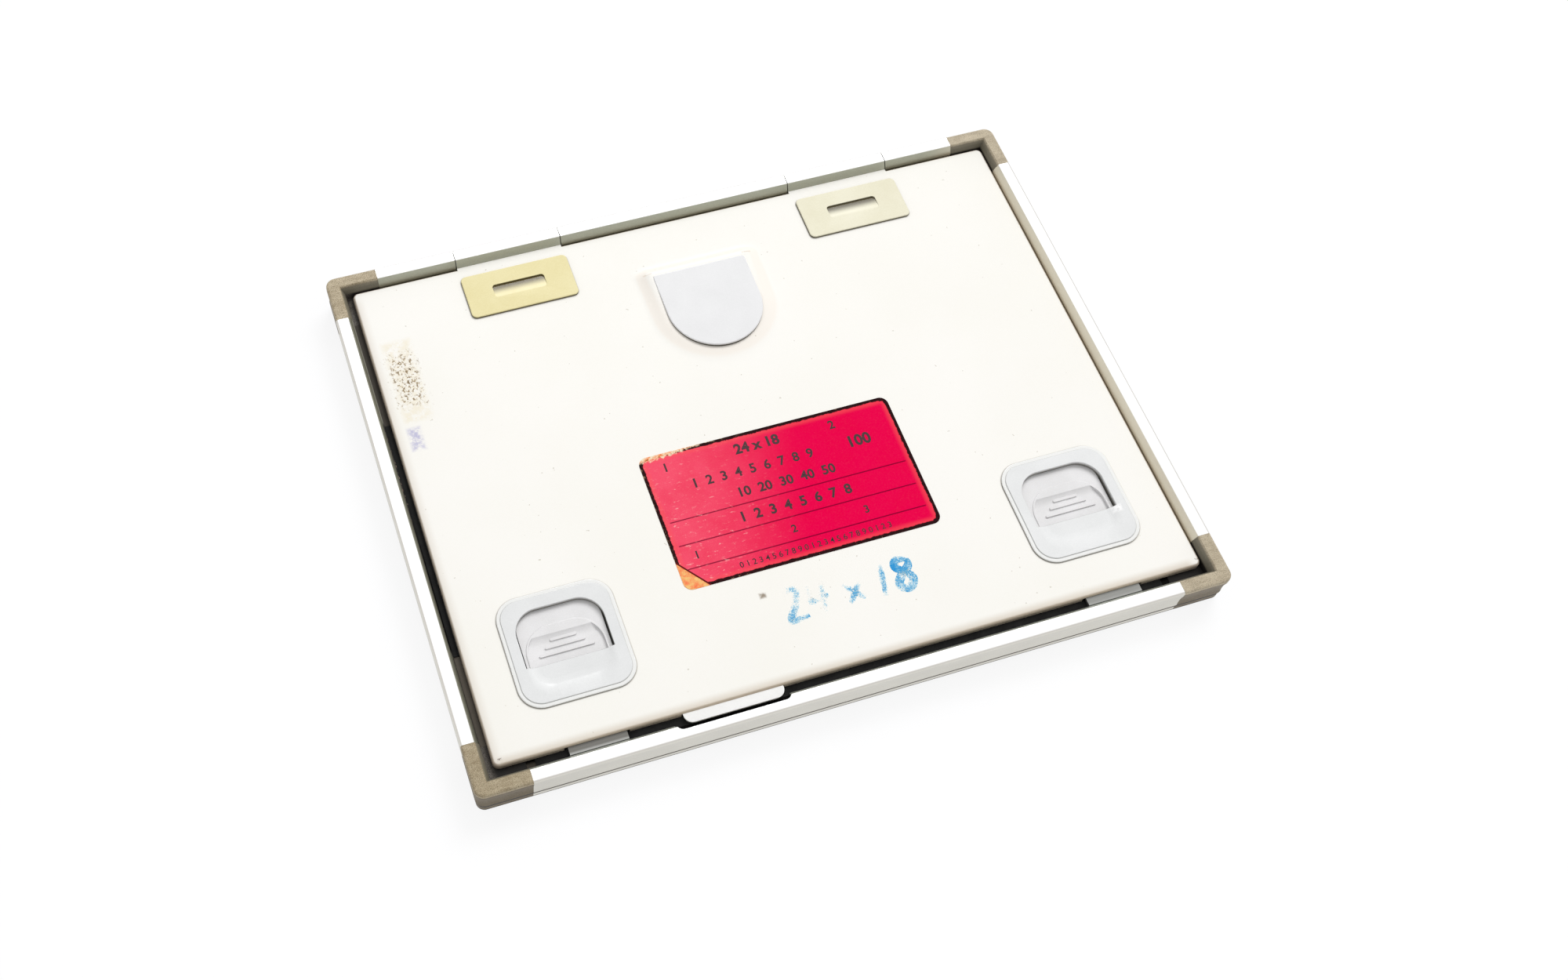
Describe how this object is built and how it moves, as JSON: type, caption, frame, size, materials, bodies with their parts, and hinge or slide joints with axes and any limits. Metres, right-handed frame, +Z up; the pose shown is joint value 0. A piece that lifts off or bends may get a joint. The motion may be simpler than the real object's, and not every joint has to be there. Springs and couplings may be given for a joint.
{
  "type": "x-ray film cassette",
  "caption": "Flat hinged-lid cassette for sheet x-ray film: metal rails with plastic corners, spring thumb latches in the lid and screens pressed together by foam.",
  "frame": {"origin": "middle of the underside of the front frame, the face the closed cassette rests on", "axes": "+X along the long side, +Y from the latch side to the hinge side, +Z up through the back lid"},
  "size_m": [0.264, 0.204, 0.015],
  "materials": {
    "rail_aluminium": "satin anodised extrusion, fine lengthwise draw lines",
    "corner_plastic": "speckled brown-grey moulding, scuffed edges",
    "bright_steel": "plated",
    "front_sheet": "fine matt paint, light scratches",
    "liner_plastic": "matt black",
    "screen_coating": "smooth pale phosphor coating",
    "seal_felt": "short-pile black felt",
    "lid_paint": "smooth cream paint, small stains",
    "cover_plastic": "yellowed cream moulding",
    "latch_plastic": "satin light grey moulding",
    "plain_aluminium": "satin sheet",
    "lead": "dull grey foil",
    "foam": "fine-celled black foam",
    "label_paper": "satin red print with black border, worn corners"
  },
  "bodies": {
    "tray": {"rail_near": "rail_aluminium", "rail_far": "rail_aluminium", "rail_left": "rail_aluminium", "rail_right": "rail_aluminium", "front_rail_near": "rail_aluminium", "front_rail_far": "rail_aluminium", "front_rail_left": "rail_aluminium", "front_rail_right": "rail_aluminium", "corner_far_right": "corner_plastic", "corner_far_left": "corner_plastic", "corner_near_right": "corner_plastic", "corner_near_left": "corner_plastic", "front_corner_far_right": "corner_plastic", "front_corner_far_left": "corner_plastic", "front_corner_near_right": "corner_plastic", "front_corner_near_left": "corner_plastic", "corner_screws": "bright_steel", "front_panel": "front_sheet", "well_liner": "liner_plastic", "front_screen": "screen_coating", "light_seal_near": "seal_felt", "light_seal_far": "seal_felt", "light_seal_left": "seal_felt", "light_seal_right": "seal_felt", "hinge_pin_left": "bright_steel", "hinge_pin_right": "bright_steel"},
    "lid": {"lid_shell": "lid_paint", "hinge_knuckle_left": "rail_aluminium", "hinge_knuckle_right": "rail_aluminium", "hinge_rivets": "bright_steel", "hinge_cover_left": "cover_plastic", "hinge_cover_right": "cover_plastic", "centre_cap": "latch_plastic", "centre_stud": "bright_steel", "stud_spacer": "liner_plastic", "pressure_plate": "plain_aluminium", "plate_standoffs": "plain_aluminium", "plate_screws": "bright_steel", "lead_sheet": "lead", "foam_pad": "foam", "rear_screen": "screen_coating", "latch_bezel_left": "latch_plastic", "latch_bezel_right": "latch_plastic", "latch_housing_left": "latch_plastic", "latch_housing_right": "latch_plastic", "latch_springs_left": "bright_steel", "latch_springs_right": "bright_steel", "lifting_tab": "plain_aluminium", "label": "label_paper"},
    "latch_left": {"thumb_slide_left": "latch_plastic", "bolt_left": "bright_steel"},
    "latch_right": {"thumb_slide_right": "latch_plastic", "bolt_right": "bright_steel"}
  },
  "joints": [
    {"name": "lid_hinge", "type": "hinge", "parent": "tray", "child": "lid", "pos_m": [0, 0.0995, 0.0126], "axis": [-1, 0, 0], "range_deg": [0, 105]},
    {"name": "latch_left_slide", "type": "slide", "parent": "lid", "child": "latch_left", "axis": [0, 1, 0], "range_m": [-0.0022, 0.0035], "stiffness_N_per_m": 300, "springref_m": -0.004, "deforming": ["latch_springs_left"]},
    {"name": "latch_right_slide", "type": "slide", "parent": "lid", "child": "latch_right", "axis": [0, 1, 0], "range_m": [-0.0022, 0.0035], "stiffness_N_per_m": 300, "springref_m": -0.004, "deforming": ["latch_springs_right"]}
  ]
}
